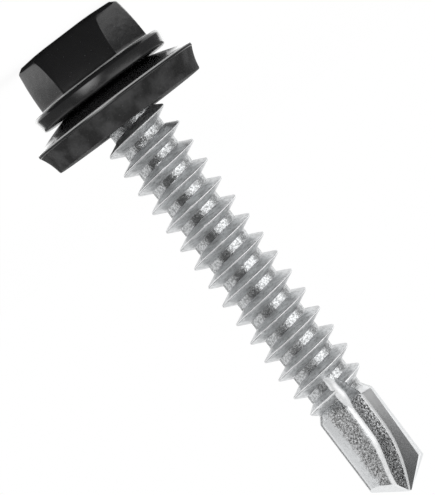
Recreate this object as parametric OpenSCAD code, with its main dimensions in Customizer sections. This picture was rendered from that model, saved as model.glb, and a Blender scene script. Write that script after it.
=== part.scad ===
// Self-drilling hex washer head screw with a bonded sealing washer under its flange.
// It stands on its head: z = 0 is the rim round the recess in the hexagon, and +Z runs
// down the shank to the drill point. All sizes are in millimetres.

/* [Head] */
// Width of the hexagon across its flats
across_flats = 8; // [7.6:0.01:8.6]
// Height of the hexagon from its rim to the flange, at the flats
hex_h = 3.42; // [2.8:0.01:4.6]
// How much the corners are turned down at the rim
corner_clip = 0.32; // [0.15:0.01:0.4]
// Radius of the rim's outer edge
rim_round = 0.35; // [0.2:0.01:0.4]
// Width of the flat land on the rim
rim_land = 0.14; // [0.08:0.01:0.2]
// Width of the whole rim, from a flat to the floor of the recess
rim_w = 0.9; // [0.75:0.01:1]
// Depth of the hexagonal recess
recess_h = 0.4; // [0.25:0.01:0.6]
// Diameter of the round dimple in the recess
dimple_d = 5.3; // [4.4:0.1:5.4]
// Depth of the dimple below the recess
dimple_h = 0.55; // [0.3:0.01:0.9]
// Width of the dimple's sloping wall
dimple_wall = 0.6; // [0.3:0.01:1]

/* [Flange] */
// Diameter of the flange
flange_d = 10.88; // [10.4:0.01:12]
// Thickness of the flange, from the foot of a flat to the seat
flange_t = 1.28; // [1.2:0.01:2]
// Fall of the flange's upper face towards its edge, in degrees
flange_fall = 4.5; // [2:0.1:13]
// Radius of the flange's upper edge
flange_round = 0.3; // [0.2:0.01:0.5]
// Undercut of the flange's edge, on the radius
flange_undercut = 0.26; // [0.1:0.01:0.4]

/* [Shank] */
// Length from the flange's seat to the point
shank_l = 35.68; // [30:0.01:60]
// Diameter of the plain neck inside the washer
neck_d = 4.1; // [3.9:0.01:4.3]
// Radius of the fillet between the neck and the flange
neck_fillet = 0.25; // [0.1:0.01:0.35]
// Outer diameter of the thread
thread_d = 5.5; // [5.2:0.01:5.8]
// Diameter of the core between the turns
core_d = 3.63; // [3.4:0.01:3.8]
// Distance from one turn to the next
pitch = 1.64; // [1.4:0.01:1.9]
// Angle between the thread's flanks, in degrees
flank_angle = 50; // [45:1:60]
// Width of the thread's crest
crest_w = 0.1; // [0.06:0.01:0.14]

/* [Drill point] */
// Diameter of the drill
drill_d = 4.6; // [4.4:0.01:4.8]
// Length of the drill from its shoulder to its point
drill_l = 8.3; // [7.5:0.1:10]
// Length of the sloping shoulder where the drill begins
shoulder_l = 0.7; // [0.5:0.01:1]
// Angle between the two cutting lips, in degrees
point_angle = 110; // [100:1:130]
// Relief of the faces behind the cutting lips, in degrees
lip_relief = 20; // [12:1:24]
// Thickness of the web between the two flutes, at the point
web_t = 0.4; // [0.3:0.01:0.6]
// Slope of the bevel in front of the cutting lips, in degrees
lip_bevel = 24; // [10:1:35]
// Distance from the axis to the bottom of a flute
flute_bottom = 1.37; // [1.2:0.01:1.5]
// Width of the land between a flute and the drill's side
margin_w = 0.38; // [0.3:0.01:0.5]
// Depth of the flat behind a land, from the drill's outside
heel_depth = 0.09; // [0.05:0.01:0.14]

/* [Sealing washer] */
// Outer diameter of the metal plate
plate_d = 13.42; // [12.6:0.01:16]
// Thickness of the plate
plate_t = 0.3; // [0.25:0.01:0.5]
// Height that the plate's middle is coned up
dome_h = 0.97; // [0.6:0.01:1.3]
// Diameter of the flat crown under the flange
crown_d = 7.7; // [6.4:0.1:8.4]
// Diameter of the hole in the plate
plate_hole_d = 5; // [4.9:0.01:5.4]
// Thickness of the rubber at the plate's edge
gasket_t = 1.56; // [1.2:0.01:2.5]
// How far the gasket's foot lies in from the plate's edge
gasket_taper = 0.55; // [0.3:0.01:0.8]

/* [Fits] */
// Clearance between the neck and the gasket's hole, on the radius
neck_clearance = 0.07; // [0.03:0.01:0.1]
// Clearance between the flange's seat and the washer's crown
seat_clearance = 0.03; // [0.02:0.01:0.1]
// Distance from the gasket's face to the start of the thread
thread_clearance = 0.15; // [0.1:0.01:0.3]
// Clearance between the thread's crest and the flared mouth of the gasket's hole, on the radius
mouth_clearance = 0.08; // [0.05:0.01:0.15]

/* [Hidden] */
$fn = 72;

// Turn of the hexagon, of the thread's start and of the flats on the drill, in degrees about Z
HEX_TURN = 4;
THREAD_TURN = 111.6;
HEEL_TURN = 110;
// Facets of a turn of the thread
TURN_STEPS = 32;
// Points along a flat of the hexagon, and round a corner
FLAT_STEPS = 4;
CORNER_STEPS = 4;
// Depth by which solids that are fused reach into each other
BITE = 0.3;
// How far the turned corners stay inside the sharp hexagon, on the wall and in the recess
CORNER_BREAK = 0.02;
RECESS_CORNER_BREAK = 0.1;
// Where the chamfer of the corners meets the rim's plane, in from a flat
CHAMFER_INSET = 0.1;
// Fall of the recess's floor from its wall to the dimple
RECESS_FALL = 0.06;
// Width of the seat beyond the washer's crown, and how far the flange's edge stays above the seat
SEAT_MARGIN = 0.05;
SEAT_RELIEF = 0.05;
// Corner between the flange's edge and its underside: across and along the screw
FOOT_CORNER = [0.09, 0.08];
// Rings of points up the hexagon's wall
WALL_RINGS = 5;
// How the plate's cone bends up from its crown, as a power of the way to the rim
CONE_POWER = 1.1;
// Depth of the hollow in the rubber's side, as a share of its taper
WAIST_SHARE = 0.15;
// Length of a cutting block, well past the whole screw's width
BLOCK = 20;
// Where a flute's sections are taken, by lengths of the drill from the point
FLUTE_STATIONS = [1.23, 1.16, 1.09, 1.03, 0.96, 0.8, 0.66, 0.52, 0.4, 0.3, 0.21, 0.14, 0.07, 0, -0.1];
// Length over which a flute swings out from the point, and how late its bottom and its crest do so
FLUTE_CURVE_L = 5.2;
BOTTOM_SWING = 0.85;
CREST_SWING = 3;
// Where a flute's crest lies beside the axis, at the point and at the shoulder
POINT_CREST_X = -0.55;
SHOULDER_CREST_X = 0.12;
// Where a flute's bottom starts at the point: beside the axis, and as a share of the web
POINT_BOTTOM_X = -0.15;
POINT_BOTTOM_SHARE = 0.3;
// Direction of a flute's bottom from the axis at the shoulder, in degrees
BOTTOM_TURN = 24;
// How far the crest stays inside the drill's outside
CREST_INSET = 0.02;
// Control point of the hollow wall: across from the crest, and as a share of its height
HOLLOW_X = 0.2;
HOLLOW_SHARE = 0.3;
// Where the closed flute ends: its bottom beside the crest and over the core, and its outer side
END_BOTTOM = [0.15, 0.06];
END_OUT = [0.4, -0.1];
END_CORNER_X = 0.35;
// Where a flute begins and ends to run out, by lengths of the drill from the point
RUN_OUT_FROM = 0.96;
RUN_OUT_TO = 1.23;

// Heights along the screw, from the rim of the head
seat_z = hex_h + flange_t;
crown_z = seat_z + seat_clearance;
rubber_top_z = crown_z + plate_t;
rim_under_z = rubber_top_z + dome_h;
seal_z = rim_under_z + gasket_t;
point_z = seat_z + shank_l;
shoulder_z = point_z - drill_l;

// Radii
flat_r = across_flats / 2;
corner_r = flat_r / cos(30) - CORNER_BREAK;
flange_r = flange_d / 2;
neck_r = neck_d / 2;
thread_r = thread_d / 2;
core_r = core_d / 2;
drill_r = drill_d / 2;
plate_r = plate_d / 2;
crown_r = crown_d / 2;
plate_hole_r = plate_hole_d / 2;
gasket_hole_r = neck_r + neck_clearance;
gasket_mouth_r = thread_r + mouth_clearance;
gasket_foot_r = plate_r - gasket_taper;

// Ridge of the thread
ridge_h = thread_r - core_r;
ridge_foot = crest_w / 2 + ridge_h * tan(flank_angle / 2);

// The thread starts just below the gasket and ends a little before the drill's shoulder
SHOULDER_GAP = 0.1;
thread_start_z = seal_z + thread_clearance;
thread_end_z = shoulder_z - SHOULDER_GAP;
thread_steps = floor(TURN_STEPS * (thread_end_z - thread_start_z) / pitch);
// Turns over which the ridge rises and falls, and its height at both ends as a share
RUN_IN_TURNS = 0.35;
RUN_OUT_TURNS = 2.2;
START_H = 0.12;
END_H = 0.6;

// The neck tapers to the core inside the gasket, a little before the thread's first foot
NECK_GAP = 0.15;
neck_taper_h = neck_r - core_r;
neck_end_z = thread_start_z - ridge_foot - neck_taper_h - NECK_GAP;

// A number or a point on the way from a to b
function between(a, b, share) = a + (b - a) * share;

// Mean of a ring's points
function middle(ring) = [for (p = ring) 1] * ring / len(ring);

// A closed solid through rings of points that run anticlockwise seen from +Z, with a cap of
// triangles round the middle of the first ring, facing -Z, and of the last, facing +Z.
module loft(rings) {
    n = len(rings[0]);
    end = len(rings) - 1;
    first_middle = (end + 1) * n;
    last_middle = first_middle + 1;
    sides = [
        for (k = [0:end - 1], i = [0:n - 1])
            let (a = k * n + i, b = k * n + (i + 1) % n)
            each [[a, a + n, b], [b, a + n, b + n]]
    ];
    caps = [
        for (i = [0:n - 1])
            let (j = (i + 1) % n)
            each [[i, j, first_middle], [end * n + j, end * n + i, last_middle]]
    ];
    polyhedron(
        points = concat([for (ring = rings) each ring], [middle(rings[0]), middle(rings[end])]),
        faces = concat(sides, caps)
    );
}

// Everything beyond a plane through a point, on the side that the normal points to
module beyond(point, normal) {
    translate(point)
        rotate(a = acos(normal[2] / norm(normal)), v = [-normal[1], normal[0], 0])
            translate([-BLOCK / 2, -BLOCK / 2, 0])
                cube(BLOCK);
}

// Points of an arc about a centre, in the plane of a profile
function arc(centre, r, from, to, steps = 6) = [
    for (k = [0:steps])
        let (a = from + (to - from) * k / steps)
        centre + r * [cos(a), sin(a)]
];

// The head

// A level ring round the hexagon, with its corners turned down to a radius
function hex_ring(apothem, turned_r, z) =
    let (half = acos(apothem / turned_r), corner = 60 - 2 * half)
    [
        for (side = [0:5], k = [0:FLAT_STEPS + CORNER_STEPS - 1])
            let (
                a = k <= FLAT_STEPS
                    ? half * (2 * k / FLAT_STEPS - 1)
                    : half + corner * (k - FLAT_STEPS) / CORNER_STEPS,
                r = k <= FLAT_STEPS ? apothem / cos(a) : turned_r,
                around = HEX_TURN + 30 + 60 * side + a
            )
            [r * cos(around), r * sin(around), z]
    ];

// A level round ring with as many points as a ring of the hexagon
function round_ring(r, z) =
    let (n = FLAT_STEPS + CORNER_STEPS)
    [
        for (i = [0:6 * n - 1])
            let (around = HEX_TURN + 30 + 60 * (i - FLAT_STEPS / 2) / n)
            [r * cos(around), r * sin(around), z]
    ];

// Radius to which the corners are turned at a height: a 30 degree chamfer at the rim, then a
// round that runs out at the flange
function turned_r(z) = min(
    flat_r - CHAMFER_INSET + z / tan(30),
    corner_r - corner_clip * pow(max(0, 1 - z / hex_h), 2)
);

module hexagon() {
    land_outer = flat_r - rim_round;
    land_inner = land_outer - rim_land;
    recess_r = flat_r - rim_w;
    slope_h = recess_h - RECESS_FALL;
    land_turned_r = turned_r(0) - rim_land;
    dimple_r = dimple_d / 2;
    floor_r = dimple_r - dimple_wall;
    dimple = [
        for (u = [0:0.25:1])
            round_ring(floor_r + (dimple_r - floor_r) * u, recess_h + dimple_h * (1 + cos(180 * u)) / 2)
    ];
    slope = [
        for (u = [1:-0.25:0])
            let (
                apothem = land_inner + (recess_r - land_inner) * u,
                turned = min(apothem / cos(30) - RECESS_CORNER_BREAK, land_turned_r)
            )
            hex_ring(apothem, turned, slope_h * (1 - cos(180 * u)) / 2)
    ];
    edge = [
        for (a = [0:22.5:90])
            let (z = rim_round * (1 - cos(a)))
            hex_ring(land_outer + rim_round * sin(a), turned_r(z), z)
    ];
    wall = [
        for (k = [1:WALL_RINGS])
            let (z = between(rim_round, hex_h, k / WALL_RINGS))
            hex_ring(flat_r, turned_r(z), z)
    ];
    foot = hex_ring(flat_r, corner_r, seat_z - BITE);
    loft(concat(dimple, slope, edge, wall, [foot]));
}

// The flange and the neck in one turned profile
module flange_and_neck() {
    fall = tan(flange_fall);
    edge_r = flange_r - flange_round;
    edge_z = hex_h + (edge_r - flat_r) * fall;
    foot_r = flange_r - flange_undercut;
    seat_r = crown_r + SEAT_MARGIN;
    foot_z = seat_z - SEAT_RELIEF;
    rotate_extrude()
        polygon(concat(
            [[0, hex_h - flat_r * fall]],
            arc([edge_r, edge_z + flange_round], flange_round, -90 + flange_fall, 0),
            [[foot_r, foot_z - FOOT_CORNER[1]], [foot_r - FOOT_CORNER[0], foot_z], [seat_r, seat_z]],
            arc([neck_r + neck_fillet, seat_z + neck_fillet], neck_fillet, 270, 180, 4),
            [
                [neck_r, neck_end_z],
                [core_r - NECK_GAP, neck_end_z + neck_taper_h + NECK_GAP],
                [0, neck_end_z + neck_taper_h + NECK_GAP]
            ]
        ));
}

// The thread

// Height of the ridge above the core, as a share of its full height, by turns from each end
function ridge_share(i) =
    let (
        turns_in = i / TURN_STEPS,
        turns_left = (thread_steps - i) / TURN_STEPS,
        run_in = START_H + (1 - START_H) * sin(90 * min(1, turns_in / RUN_IN_TURNS)),
        run_out = END_H + (1 - END_H) * sin(90 * min(1, turns_left / RUN_OUT_TURNS))
    )
    min(run_in, run_out);

// The four corners of the ridge at a step: foot, crest, crest, foot. Where the ridge is not yet
// full, its top is cut off level and its flanks stay.
function ridge_section(i) =
    let (
        around = THREAD_TURN + 360 * i / TURN_STEPS,
        z = thread_start_z + pitch * i / TURN_STEPS,
        h = ridge_h * ridge_share(i),
        crest = ridge_foot - h * tan(flank_angle / 2)
    )
    [
        for (p = [
            [core_r, -ridge_foot], [core_r + h, -crest], [core_r + h, crest], [core_r, ridge_foot]
        ])
            [p[0] * cos(around), p[0] * sin(around), z + p[1]]
    ];

function core_ring(z) = [
    for (i = [0:TURN_STEPS - 1])
        let (around = THREAD_TURN + 360 * i / TURN_STEPS)
        [core_r * cos(around), core_r * sin(around), z]
];

// The core and the ridge as one closed solid. The core's facets run between the foot of one
// turn and the foot of the next, and between the end turns and a level ring at each end.
module threaded_core() {
    n = TURN_STEPS;
    end = thread_steps;
    top = 4 * (end + 1);
    bottom = top + n;
    points = concat(
        [for (i = [0:end]) each ridge_section(i)],
        core_ring(shoulder_z + shoulder_l + BITE),
        core_ring(neck_end_z - BITE)
    );
    ridge = [
        for (i = [0:end - 1], j = [0:2])
            let (a = 4 * i + j, b = a + 4)
            each [[a, a + 1, b + 1], [a, b + 1, b]]
    ];
    roots = [
        for (i = [0:end - n - 1])
            [4 * i + 3, 4 * (i + n), 4 * (i + n) + 4, 4 * i + 7]
    ];
    below_first = [for (i = [0:n - 2]) [bottom + i, 4 * i, 4 * i + 4, bottom + i + 1]];
    start_column = [4 * (n - 1), 4 * n, 3, 0, bottom];
    at_start = [for (k = [0:3]) [bottom + n - 1, start_column[k], start_column[k + 1]]];
    above_last = [
        for (i = [end - n + 1:end - 1])
            [top + (i + 1) % n, 4 * i + 7, 4 * i + 3, top + i % n]
    ];
    end_column = [4 * (end - n) + 7, 4 * (end - n) + 3, 4 * end, 4 * end + 3, top + end % n];
    at_end = [for (k = [0:3]) [top + (end + 1) % n, end_column[k], end_column[k + 1]]];
    start_cap = [0, 3, 2, 1];
    end_cap = [4 * end, 4 * end + 1, 4 * end + 2, 4 * end + 3];
    polyhedron(
        points = points,
        faces = concat(
            ridge, roots, below_first, at_start, above_last, at_end, [start_cap, end_cap],
            [[for (i = [0:n - 1]) bottom + i]], [[for (i = [n - 1:-1:0]) top + i]]
        )
    );
}

// The drill point

// The drill before its flutes and lips are formed, with a flat behind each land
module drill_blank() {
    rise = (drill_r - core_r) / shoulder_l;
    difference() {
        rotate_extrude()
            polygon([
                [0, shoulder_z - core_r / rise],
                [drill_r, shoulder_z + shoulder_l],
                [drill_r, point_z],
                [0, point_z]
            ]);
        for (side = [0, 180])
            rotate(HEEL_TURN + side)
                beyond([drill_r - heel_depth, 0, point_z], [1, 0, 0]);
    }
}

// Section of a flute at a distance from the point, as a V with one hollow wall. The V's bottom
// leaves the axis beside the point, and past the shoulder the V closes and runs out.
function flute_section(below) =
    let (
        opening = sin(90 * min(1, max(0, below) / FLUTE_CURVE_L)),
        run_out = min(1, max(0, below / drill_l - RUN_OUT_FROM) / (RUN_OUT_TO - RUN_OUT_FROM)),
        reach = thread_r + BITE,
        margin_x = drill_r - margin_w,
        margin = [margin_x, sqrt(drill_r * drill_r - margin_x * margin_x)],
        crest_x = between(POINT_CREST_X, SHOULDER_CREST_X, pow(opening, CREST_SWING)),
        crest = [crest_x, drill_r - CREST_INSET],
        shoulder_bottom = flute_bottom * [cos(BOTTOM_TURN), sin(BOTTOM_TURN)],
        point_bottom = [POINT_BOTTOM_X, POINT_BOTTOM_SHARE * web_t],
        bottom = between(point_bottom, shoulder_bottom, pow(opening, BOTTOM_SWING)),
        past_margin = between(bottom, margin, (reach - bottom[0]) / (margin_x - bottom[0])),
        low = between(bottom, [crest_x, core_r] + END_BOTTOM, run_out),
        out = between(past_margin, [crest_x, reach] + END_OUT, run_out),
        corner = between([reach, reach], [crest_x + END_CORNER_X, reach], run_out),
        hollow = [crest_x + HOLLOW_X * (1 - run_out), between(low[1], crest[1], HOLLOW_SHARE)],
        wall = [
            for (t = [0.25:0.25:0.75])
                pow(1 - t, 2) * crest + 2 * t * (1 - t) * hollow + t * t * low
        ]
    )
    [
        for (p = concat([low, out, corner, [crest_x, reach], crest], wall))
            [p[0], p[1], point_z - below]
    ];

module flute() {
    loft([for (s = FLUTE_STATIONS) flute_section(s * drill_l)]);
}

// What is left out over a cutting lip: the relief behind its edge and the bevel before it
module over_lip() {
    fall = 1 / tan(point_angle / 2);
    edge_y = web_t / 2;
    for (slope = [-tan(lip_relief), tan(lip_bevel)])
        beyond([0, edge_y, point_z], [fall, slope, 1]);
}

// Sub-parts

module screw() {
    color("#1e1e1f")
        hexagon();
    color("#1e1e1f")
        flange_and_neck();
    color("#c4c7c8")
        difference() {
            union() {
                threaded_core();
                drill_blank();
            }
            for (side = [0, 180])
                rotate(side) {
                    flute();
                    over_lip();
                }
        }
}

// Shares of the way from the crown to the rim at which the plate's curve is taken
CONE_SHARES = [0, 0.03, 0.1, 0.22, 0.4, 0.65, 1];

// The plate's curve on the side that starts at a height, as radius and height
function cone(z) = [
    for (share = CONE_SHARES)
        [between(crown_r, plate_r, share), z + dome_h * pow(share, CONE_POWER)]
];

function backwards(list) = [for (k = [len(list) - 1:-1:0]) list[k]];

module washer_plate() {
    color("#1e1e1f")
        rotate_extrude()
            polygon(concat(
                [[plate_hole_r, crown_z]],
                cone(crown_z),
                backwards(cone(rubber_top_z)),
                [[plate_hole_r, rubber_top_z]]
            ));
}

module washer_gasket() {
    waist = WAIST_SHARE * gasket_taper;
    color("#3a3a3b")
        rotate_extrude()
            polygon(concat(
                [[gasket_hole_r, rubber_top_z]],
                cone(rubber_top_z),
                [
                    for (t = [0.2:0.2:0.8])
                        [
                            between(plate_r, gasket_foot_r, t) - 4 * waist * t * (1 - t),
                            between(rim_under_z, seal_z, t)
                        ]
                ],
                [
                    [gasket_foot_r, seal_z],
                    [gasket_mouth_r, seal_z],
                    [gasket_hole_r, seal_z - gasket_mouth_r + gasket_hole_r]
                ]
            ));
}

screw();
washer_plate();
washer_gasket();
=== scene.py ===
"""Looks of a hex washer head self-drilling screw with a captive sealing washer.

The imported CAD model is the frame. Each operator models one piece over it, and the last one
sets up the studio.
"""

import math

import bmesh
import bpy
from bpy.props import FloatProperty, FloatVectorProperty, IntProperty, PointerProperty
from mathutils import Matrix, Vector


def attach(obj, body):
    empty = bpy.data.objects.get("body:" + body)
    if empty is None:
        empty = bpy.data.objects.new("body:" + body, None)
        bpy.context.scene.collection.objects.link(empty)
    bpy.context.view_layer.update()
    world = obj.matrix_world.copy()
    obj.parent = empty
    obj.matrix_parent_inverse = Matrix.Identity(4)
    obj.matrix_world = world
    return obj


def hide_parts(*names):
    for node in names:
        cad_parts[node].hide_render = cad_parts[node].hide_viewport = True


bl_info = {
    "name": "Self-drilling screw",
    "version": (1, 0, 0),
    "blender": (4, 5, 0),
    "location": "3D View > Sidebar > Screw",
    "description": "Models a self-drilling hex washer head screw and its sealing washer",
    "category": "Add Mesh",
}

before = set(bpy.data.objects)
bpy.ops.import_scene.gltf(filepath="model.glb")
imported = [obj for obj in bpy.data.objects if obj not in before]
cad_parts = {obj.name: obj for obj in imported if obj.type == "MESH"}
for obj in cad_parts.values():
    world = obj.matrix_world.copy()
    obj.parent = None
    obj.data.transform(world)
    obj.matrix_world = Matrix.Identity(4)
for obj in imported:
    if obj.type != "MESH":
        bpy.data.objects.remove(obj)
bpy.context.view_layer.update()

MM = 0.001
WHITE = (1, 1, 1, 1)
# Points closer than this are merged
DOUBLES = 0.0005 * MM
# How far solids reach into each other before they are joined
BITE = 0.3 * MM
# Near-white of the bright specks on forged zinc, and of the painted highlight beside a flute's crest
SPECK_AND_HIGHLIGHT_WHITE = (0.92, 0.93, 0.94)


def mm(name, description, value):
    """A length that is set in the panel, with its default given in millimetres."""
    return FloatProperty(name=name, description=description, default=value * MM, unit="LENGTH", precision=5)


def degrees(name, description, value):
    """An angle that is set in the panel, with its default given in degrees."""
    return FloatProperty(name=name, description=description, default=math.radians(value), subtype="ANGLE")


def number(name, description, value, unit="NONE"):
    """A number that is set in the panel."""
    return FloatProperty(name=name, description=description, default=value, unit=unit)


def paint(name, description, value):
    """A linear colour that is set in the panel."""
    limits = {"min": 0, "max": 1}
    return FloatVectorProperty(name=name, description=description, default=value, subtype="COLOR", **limits)


class HeadSizes(bpy.types.PropertyGroup):
    """Sizes of the hexagon and the flange"""

    across_flats: mm("Across flats", "Width of the hexagon", 8.0)
    hex_h: mm("Hexagon height", "From the rim to the flange", 3.42)
    hex_turn: degrees("Hexagon turn", "Turn about the axis", 4)
    corner_clip: mm("Corner clip", "How far the corners are turned down", 0.32)
    rim_round: mm("Rim round", "Radius of the rim's outer edge", 0.35)
    rim_land: mm("Rim land", "Width of the land on the rim", 0.14)
    rim_w: mm("Rim width", "From a flat to the floor of the recess", 0.9)
    recess_h: mm("Recess depth", "Depth of the recess", 0.4)
    dimple_d: mm("Dimple", "Diameter of the dimple", 5.3)
    dimple_h: mm("Dimple depth", "Depth of the dimple below the recess", 0.55)
    foot_fillet: mm("Foot fillet", "Fillet between a flat and the flange", 0.11)
    flange_d: mm("Flange", "Diameter of the flange", 10.88)
    flange_t: mm("Flange thickness", "From the foot of a flat to the seat", 1.28)
    flange_fall: degrees("Flange fall", "Fall of the flange's upper face", 4.5)
    flange_round: mm("Flange round", "Radius of the flange's upper edge", 0.3)
    flange_undercut: mm("Flange undercut", "Undercut of the flange's edge", 0.26)


class ShankSizes(bpy.types.PropertyGroup):
    """Sizes of the neck and the thread"""

    length: mm("Length", "From the flange's seat to the point", 35.68)
    neck_d: mm("Neck", "Diameter of the plain neck", 4.1)
    neck_fillet: mm("Neck fillet", "Fillet between the neck and the flange", 0.25)
    thread_d: mm("Thread", "Outer diameter of the thread", 5.5)
    core_d: mm("Core", "Diameter of the core", 3.63)
    pitch: mm("Pitch", "From one turn to the next", 1.64)
    flank_angle: degrees("Flank angle", "Angle between the thread's flanks", 50)
    crest_round: mm("Crest round", "Radius of the thread's crest", 0.1)
    root_fillet: mm("Root fillet", "Fillet between a flank and the core", 0.09)
    thread_turn: degrees("Thread turn", "Where the thread starts round the axis", 111.6)
    steps: IntProperty(name="Steps", description="Steps round a turn of the thread", default=88, min=24)


class DrillSizes(bpy.types.PropertyGroup):
    """Sizes of the drill point"""

    drill_d: mm("Drill", "Diameter of the drill", 4.6)
    drill_l: mm("Drill length", "From the shoulder to the point", 8.3)
    shoulder_l: mm("Shoulder", "Length of the sloping shoulder", 0.7)
    point_angle: degrees("Point angle", "Angle between the cutting lips", 110)
    lip_relief: degrees("Lip relief", "Relief behind the lips", 20)
    lip_bevel: degrees("Lip bevel", "Slope of the bevel before the lips", 24)
    web_t: mm("Web", "Thickness of the web at the point", 0.4)
    flute_bottom: mm("Flute bottom", "From the axis to the bottom of a flute", 1.37)
    flute_curve_l: mm("Flute curve", "Length over which a flute swings out", 5.2)
    lip_sweep: mm("Lip sweep", "How far a flute's crest starts past the axis", 0.55)
    margin_w: mm("Margin", "Width of the land at the point", 0.38)
    margin_end_w: mm("Margin end", "Width of the land at the shoulder", 0.14)
    heel_depth: mm("Heel depth", "Depth of the flat behind a land", 0.09)
    heel_turn: degrees("Heel turn", "Turn of the flats about the axis", 110)
    crest_round: mm("Crest round", "Rounding of a flute's crest", 0.42)
    bottom_round: mm("Bottom round", "Rounding of a flute's bottom", 0.22)
    step_x: mm("Step", "Where a flute's outer wall steps in to", 1.38)


class WasherSizes(bpy.types.PropertyGroup):
    """Sizes of the sealing washer"""

    plate_d: mm("Plate", "Diameter of the plate", 13.42)
    plate_t: mm("Plate thickness", "Thickness of the plate", 0.3)
    cone_h: mm("Cone", "Height of the plate's cone", 0.97)
    crown_d: mm("Crown", "Diameter of the flat crown", 7.7)
    plate_hole_d: mm("Plate hole", "Diameter of the plate's hole", 5.0)
    gasket_t: mm("Rubber thickness", "Thickness of the rubber at the edge", 1.56)
    gasket_taper: mm("Rubber taper", "How far the rubber's foot lies in", 0.55)
    gasket_hole_d: mm("Rubber hole", "Diameter of the rubber's hole", 4.24)
    mouth_d: mm("Mouth", "Diameter of the hole's flared mouth", 5.66)
    seat_clearance: mm("Seat clearance", "Between the flange and the crown", 0.03)


class FinishColours(bpy.types.PropertyGroup):
    """Colours of the finishes"""

    paint: paint("Paint", "Gloss paint of the head and the plate", (0.012, 0.012, 0.0125))
    zinc: paint("Zinc", "Bright zinc plate", (0.76, 0.775, 0.785))
    zinc_shade: paint("Zinc shade", "Dull spots in the zinc plate", (0.28, 0.285, 0.29))
    rubber: paint("Rubber", "Vulcanised rubber", (0.007, 0.007, 0.0072))
    rubber_bloom: paint("Rubber bloom", "Pale bloom on the rubber", (0.046, 0.046, 0.047))


class StudioSettings(bpy.types.PropertyGroup):
    """Camera, floor and light"""

    lens: number("Lens", "Focal length of the camera", 330, "CAMERA")
    distance: mm("Distance", "From the camera to the screw", 320)
    roll: degrees("Roll", "Roll of the camera", 142.85)
    tilt: degrees("Tilt", "Tilt of the camera towards the head", 0.7)
    aim_x: mm("Aim across", "Where the camera aims, across the screw", 0.49)
    aim_z: mm("Aim along", "Where the camera aims, along the screw", 18.4)
    floor_size: number("Floor", "Width of the floor", 6, "LENGTH")
    floor_white: number("Floor white", "Share of the floor that stays white", 0.9)


def sizes(name):
    """The settings of one group."""
    return getattr(bpy.context.scene, name)


def rim_under_z():
    """Height of the underside of the washer plate's rim."""
    s = sizes("washer_sizes")
    return seat_z() + s.seat_clearance + s.plate_t + s.cone_h


def seat_z():
    """Height of the flange's seat."""
    head = sizes("head_sizes")
    return head.hex_h + head.flange_t


def seal_z():
    """Height of the rubber's sealing face."""
    return rim_under_z() + sizes("washer_sizes").gasket_t


def point_z():
    """Height of the theoretical point of the drill."""
    return seat_z() + sizes("shank_sizes").length


def between(a, b, share):
    """A number or vector on the way from a to b."""
    return a + (b - a) * share


def clamp(share):
    """A share kept between 0 and 1."""
    return min(1, max(0, share))


def shares(steps):
    """Even steps from 0 to 1."""
    return [k / steps for k in range(steps + 1)]


def arc(centre, radius, start, end, steps):
    """Points of an arc in a profile, between two angles in degrees."""
    angles = [math.radians(between(start, end, share)) for share in shares(steps)]
    return [(centre[0] + radius * math.cos(a), centre[1] + radius * math.sin(a)) for a in angles]


def polar(radius, angle, z):
    """A point at a radius and an angle about the screw's axis."""
    return Vector((radius * math.cos(angle), radius * math.sin(angle), z))


def choose(piece):
    """Makes a piece the active one and the only one that is selected."""
    bpy.ops.object.select_all(action="DESELECT")
    bpy.context.view_layer.objects.active = piece
    piece.select_set(True)


def edit(piece):
    """Opens a piece in edit mode, with all of it selected."""
    choose(piece)
    bpy.ops.object.mode_set(mode="EDIT")
    bpy.ops.mesh.select_all(action="SELECT")


def new_piece(name):
    """Names the primitive that was just added, and opens it in edit mode."""
    piece = bpy.context.object
    piece.name = name
    edit(piece)
    return piece


def done():
    """Closes edit mode."""
    bpy.ops.object.mode_set(mode="OBJECT")


def close_up(piece):
    """Merges what coincides and turns all faces outwards."""
    edit(piece)
    bpy.ops.mesh.remove_doubles(threshold=DOUBLES)
    bpy.ops.mesh.normals_make_consistent(inside=False)
    done()


def draw_rings(name, rings, finish_of=None):
    """A closed skin drawn ring by ring: a circle is extruded to each next ring, and both ends are filled.
    finish_of gives the number of a face's finish, from the number of its first point in a ring and its
    height."""
    count = len(rings[0])
    bpy.ops.mesh.primitive_circle_add(vertices=count, radius=rings[0][0].xy.length, fill_type="NGON")
    piece = new_piece(name)
    spots = list(range(count))
    for k, ring in enumerate(rings):
        if k:
            bpy.ops.mesh.extrude_region_move()
        mesh = bmesh.from_edit_mesh(piece.data)
        mesh.verts.ensure_lookup_table()
        first = k * count
        for vert in mesh.verts[first:first + count]:
            if k:
                below = next(e.other_vert(vert) for e in vert.link_edges if e.other_vert(vert).index < first)
                spots.append(spots[below.index])
            vert.co = ring[spots[vert.index]]
        bmesh.update_edit_mesh(piece.data)
    done()
    if finish_of:
        for face in piece.data.polygons:
            corners = sorted({spots[v] for v in face.vertices})
            if len(corners) == 2:
                column = corners[corners[1] - corners[0] > 1]
                face.material_index = finish_of(column, face.center.z)
    close_up(piece)
    return piece


def draw_profile(name, points):
    """A profile in the plane of X and Z: one vertex is extruded from point to point."""
    bpy.ops.mesh.primitive_plane_add(size=MM)
    piece = new_piece(name)
    bpy.ops.mesh.merge(type="CENTER")
    bpy.ops.transform.translate(value=(points[0][0], 0, points[0][1]))
    for (x, z), (next_x, next_z) in zip(points, points[1:]):
        bpy.ops.mesh.extrude_vertices_move(TRANSFORM_OT_translate={"value": (next_x - x, 0, next_z - z)})
    done()
    return piece


def turn_profile(name, points, steps=96):
    """A turned piece: a closed profile is spun about the screw's axis."""
    piece = draw_profile(name, points)
    edit(piece)
    bpy.ops.mesh.spin(steps=steps, angle=math.tau, center=(0, 0, 0), axis=(0, 0, 1))
    done()
    close_up(piece)
    return piece


def apply_modifier(piece, kind, settings):
    """Adds a modifier to a piece and applies it."""
    choose(piece)
    modifier = piece.modifiers.new(kind.title(), kind)
    for key, value in settings.items():
        setattr(modifier, key, value)
    bpy.ops.object.modifier_apply(modifier=modifier.name)


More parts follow.
